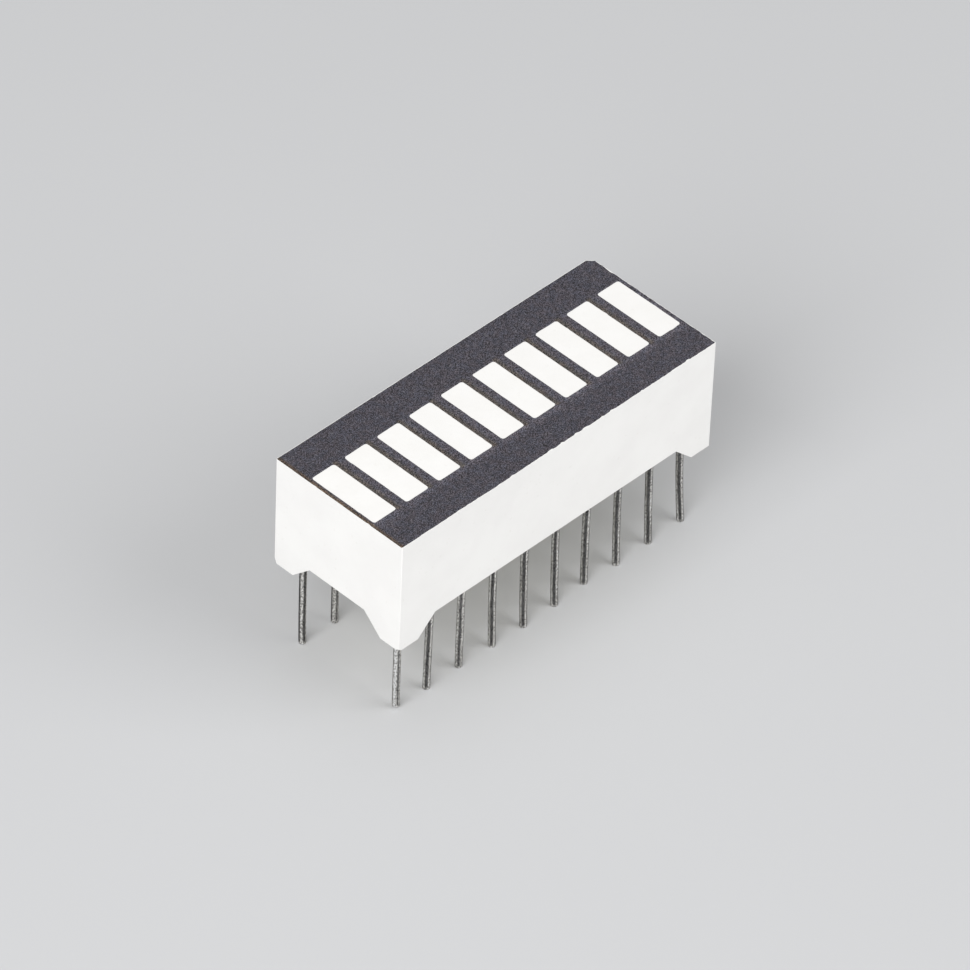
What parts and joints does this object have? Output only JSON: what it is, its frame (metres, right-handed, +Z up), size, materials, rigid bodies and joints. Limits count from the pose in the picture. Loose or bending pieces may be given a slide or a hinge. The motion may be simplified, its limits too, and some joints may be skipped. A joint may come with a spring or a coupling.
{
  "type": "led bar graph",
  "caption": "Light bar display: a white box with a dark printed face, a row of flush white light windows, corner feet and straight wire pins in a dual in-line pattern.",
  "frame": {"origin": "centre of the seating plane, where the four corner feet end, midway between the pins", "axes": "+X along the row of windows towards pin 1, +Y across the row towards pins 1 to 10, +Z up out of the face"},
  "size_m": [0.0252, 0.01, 0.014],
  "materials": {
    "housing": "fine moulded satin",
    "ink": "matte print",
    "segment": "milky cast epoxy",
    "board": "bare glass-fibre laminate",
    "copper": "etched copper",
    "seal": "cast epoxy",
    "chip": "sawn semiconductor",
    "bond_wire": "fine gold wire",
    "pin": "tinned wire"
  },
  "bodies": {
    "root": {"housing": "housing", "face_mask": "ink", "circuit_board": "board", "copper_tracks": "copper", "board_seal": "seal", "segment_lens_01": "segment", "segment_lens_02": "segment", "segment_lens_03": "segment", "segment_lens_04": "segment", "segment_lens_05": "segment", "segment_lens_06": "segment", "segment_lens_07": "segment", "segment_lens_08": "segment", "segment_lens_09": "segment", "segment_lens_10": "segment", "led_chip_01": "chip", "led_chip_02": "chip", "led_chip_03": "chip", "led_chip_04": "chip", "led_chip_05": "chip", "led_chip_06": "chip", "led_chip_07": "chip", "led_chip_08": "chip", "led_chip_09": "chip", "led_chip_10": "chip", "bond_wire_01": "bond_wire", "bond_wire_02": "bond_wire", "bond_wire_03": "bond_wire", "bond_wire_04": "bond_wire", "bond_wire_05": "bond_wire", "bond_wire_06": "bond_wire", "bond_wire_07": "bond_wire", "bond_wire_08": "bond_wire", "bond_wire_09": "bond_wire", "bond_wire_10": "bond_wire", "pin_01": "pin", "pin_02": "pin", "pin_03": "pin", "pin_04": "pin", "pin_05": "pin", "pin_06": "pin", "pin_07": "pin", "pin_08": "pin", "pin_09": "pin", "pin_10": "pin", "pin_11": "pin", "pin_12": "pin", "pin_13": "pin", "pin_14": "pin", "pin_15": "pin", "pin_16": "pin", "pin_17": "pin", "pin_18": "pin", "pin_19": "pin", "pin_20": "pin"}
  },
  "joints": []
}
